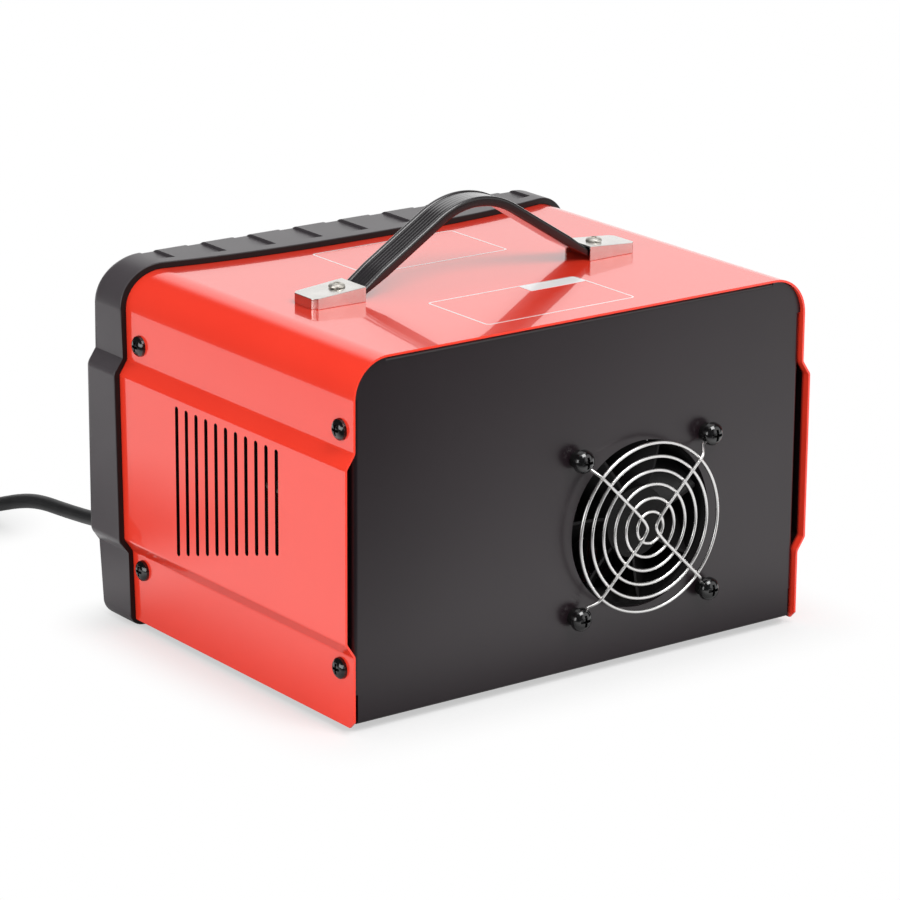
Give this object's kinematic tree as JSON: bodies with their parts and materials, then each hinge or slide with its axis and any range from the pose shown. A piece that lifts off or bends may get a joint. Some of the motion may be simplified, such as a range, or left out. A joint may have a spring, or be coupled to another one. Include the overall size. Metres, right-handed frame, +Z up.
{
  "type": "battery charger with jump starter",
  "caption": "Bench battery charger with jump start: folded steel cover with vented sides, plastic front frame, strap handle, rear fan with wire guard, front controls and mains lead.",
  "frame": {"origin": "on the floor, under the middle of the housing without its mains lead", "axes": "+X to the right seen from the front, +Y from the front frame to the fan, +Z up"},
  "size_m": [0.3361, 0.4426, 0.2011],
  "materials": {
    "red_paint": "glossy red enamel",
    "black_paint": "satin black",
    "frame_plastic": "fine grained dark grey",
    "black_plastic": "moulded black",
    "rocker_black": "glossy black",
    "rocker_red": "glossy red",
    "white_plastic": "white",
    "clear_window": "clear moulding",
    "dial_card": "white dial with plain black scale marks",
    "needle_black": "black",
    "bright_steel": "bright plated steel",
    "zinc_steel": "zinc plated",
    "black_screw": "blackened steel",
    "soft_rubber": "black",
    "strap_vinyl": "ribbed black vinyl",
    "laminations": "varnished steel stampings",
    "enamelled_wire": "enamelled copper wire",
    "nylon": "natural nylon",
    "sink_metal": "extruded",
    "grey_plastic": "moulded grey"
  },
  "bodies": {
    "housing": {"top_cover": "red_paint", "chassis_tray": "black_paint", "front_panel": "black_paint", "front_frame": "frame_plastic", "side_screws": "black_screw", "frame_screws": "zinc_steel", "rear_foot_left": "soft_rubber", "rear_foot_right": "soft_rubber", "foot_screws": "zinc_steel", "fan_guard": "bright_steel", "guard_spacers": "black_plastic", "fan_screws": "black_screw", "fan_frame": "black_plastic", "handle_strap": "strap_vinyl", "handle_cap_left": "bright_steel", "handle_cap_right": "bright_steel", "handle_screws": "bright_steel", "handle_nuts": "zinc_steel", "ammeter_body": "black_plastic", "ammeter_dial": "dial_card", "ammeter_lens": "clear_window", "power_rocker_frame": "black_plastic", "mode_rocker_frame": "black_plastic", "selector_switch": "black_plastic", "selector_nut": "zinc_steel", "breaker_body": "black_plastic", "breaker_nut": "zinc_steel", "output_grommet_outer": "soft_rubber", "output_grommet_inner": "soft_rubber", "mains_relief": "soft_rubber", "mains_cord": "soft_rubber", "mains_coil": "soft_rubber", "coil_tie": "black_plastic", "mains_plug": "soft_rubber", "plug_pins": "bright_steel", "transformer_core": "laminations", "transformer_bobbin": "nylon", "transformer_winding": "enamelled_wire", "transformer_bracket": "zinc_steel", "transformer_screws": "zinc_steel", "heat_sink": "sink_metal", "heat_sink_standoffs": "nylon", "rectifier_diodes": "zinc_steel", "terminal_block": "grey_plastic", "terminal_screws": "zinc_steel"},
    "impeller": {"fan_impeller": "black_plastic"},
    "needle": {"ammeter_needle": "needle_black"},
    "power_switch": {"power_rocker": "rocker_red"},
    "mode_switch": {"mode_rocker": "rocker_black"},
    "selector": {"selector_shaft": "zinc_steel", "selector_knob": "black_plastic"},
    "reset_button": {"breaker_button": "white_plastic"}
  },
  "joints": [
    {"name": "fan_spin", "type": "hinge", "parent": "housing", "child": "impeller", "pos_m": [-0.0319, 0.0818, 0.0646], "axis": [0, 1, 0], "continuous": true},
    {"name": "needle_swing", "type": "hinge", "parent": "housing", "child": "needle", "pos_m": [0, -0.087, 0.099], "axis": [0, 1, 0], "range_deg": [0, 90]},
    {"name": "power_rocker_tilt", "type": "hinge", "parent": "housing", "child": "power_switch", "pos_m": [-0.078, -0.08017, 0.115], "axis": [1, 0, 0], "range_deg": [-24, 0]},
    {"name": "mode_rocker_tilt", "type": "hinge", "parent": "housing", "child": "mode_switch", "pos_m": [0.078, -0.08017, 0.115], "axis": [1, 0, 0], "range_deg": [-24, 0]},
    {"name": "selector_turn", "type": "hinge", "parent": "housing", "child": "selector", "pos_m": [-0.022, -0.0812, 0.053], "axis": [0, 1, 0], "range_deg": [0, 240]},
    {"name": "reset_press", "type": "slide", "parent": "housing", "child": "reset_button", "axis": [0, 1, 0], "range_m": [0, 0.003], "stiffness_N_per_m": 300, "springref_m": -0.001}
  ]
}
